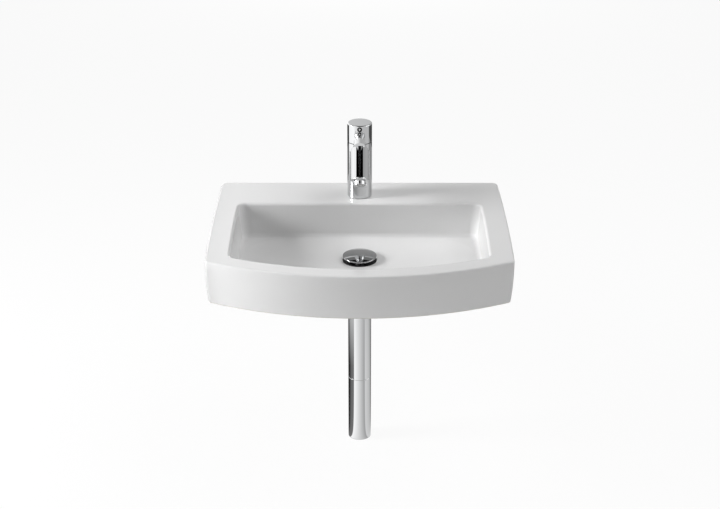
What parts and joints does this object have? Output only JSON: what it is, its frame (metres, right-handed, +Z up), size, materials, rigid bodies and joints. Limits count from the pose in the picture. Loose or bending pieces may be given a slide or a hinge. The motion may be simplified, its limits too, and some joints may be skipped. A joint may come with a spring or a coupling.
{
  "type": "countertop basin",
  "caption": "White ceramic countertop basin with a bowed front, a rear tap deck, a single-lever mixer tap, a push waste and a straight chromed tail pipe.",
  "frame": {"origin": "on the waste axis, in the plane of the counter that the basin's foot stands on", "axes": "+X to the right of a user at the bowed front, +Y towards the wall, +Z up"},
  "size_m": [0.526, 0.424, 0.5785],
  "materials": {
    "ceramic": "white glazed vitreous china",
    "chrome": "bright chrome plate",
    "brass": "turned brass",
    "steel": "plain stainless steel",
    "rubber": "black rubber",
    "cartridge_plastic": "moulded acetal",
    "alumina": "lapped alumina",
    "indicator": "dark moulded plug"
  },
  "bodies": {
    "root": {"basin_body": "ceramic", "tap_body": "chrome", "aerator_housing": "chrome", "dome_ring": "chrome", "waste_flange": "chrome", "upper_tail_tube": "chrome", "lower_tail_tube": "chrome", "cartridge_nut": "brass", "lock_nut": "brass", "stud_nut": "brass", "mounting_stud": "steel", "clamp_plate": "steel", "click_spring": "steel", "base_gasket": "rubber", "clamp_gasket": "rubber", "aerator_washer": "rubber", "cartridge_seals": "rubber", "flange_seal": "rubber", "lower_seal": "rubber", "upper_joint_ring": "rubber", "lower_joint_ring": "rubber", "cartridge_base": "cartridge_plastic", "cartridge_housing": "cartridge_plastic", "aerator_insert": "cartridge_plastic", "slip_washer": "cartridge_plastic", "stem_bush": "cartridge_plastic", "click_housing": "cartridge_plastic", "fixed_disc": "alumina"},
    "swivel": {"cartridge_turret": "cartridge_plastic", "cartridge_pin": "steel"},
    "lever": {"handle": "chrome", "handle_screw": "steel", "indicator_cap": "indicator", "cartridge_spindle": "steel"},
    "disc": {"moving_disc": "alumina"},
    "plug": {"plug_cap": "chrome", "plug_gasket": "rubber", "plug_stem": "brass", "stem_clip": "steel"}
  },
  "joints": [
    {"name": "lever_swivel", "type": "hinge", "parent": "root", "child": "swivel", "pos_m": [0, 0.128, 0.186], "axis": [0, 0, 1], "range_deg": [-45, 45]},
    {"name": "lever_lift", "type": "hinge", "parent": "swivel", "child": "lever", "pos_m": [0, 0.128, 0.186], "axis": [-1, 0, 0], "range_deg": [0, 25]},
    {"name": "disc_slide", "type": "slide", "parent": "swivel", "child": "disc", "axis": [0, -1, 0], "range_m": [0, 0.00645]},
    {"name": "plug_press", "type": "slide", "parent": "root", "child": "plug", "axis": [0, 0, 1], "range_m": [-0.0062, 0], "stiffness_N_per_m": 300, "springref_m": 0.02, "deforming": ["click_spring"]}
  ],
  "couplings": [
    {"joint": "disc_slide", "follows": "lever_lift", "m_per_rad": 0.0145}
  ]
}
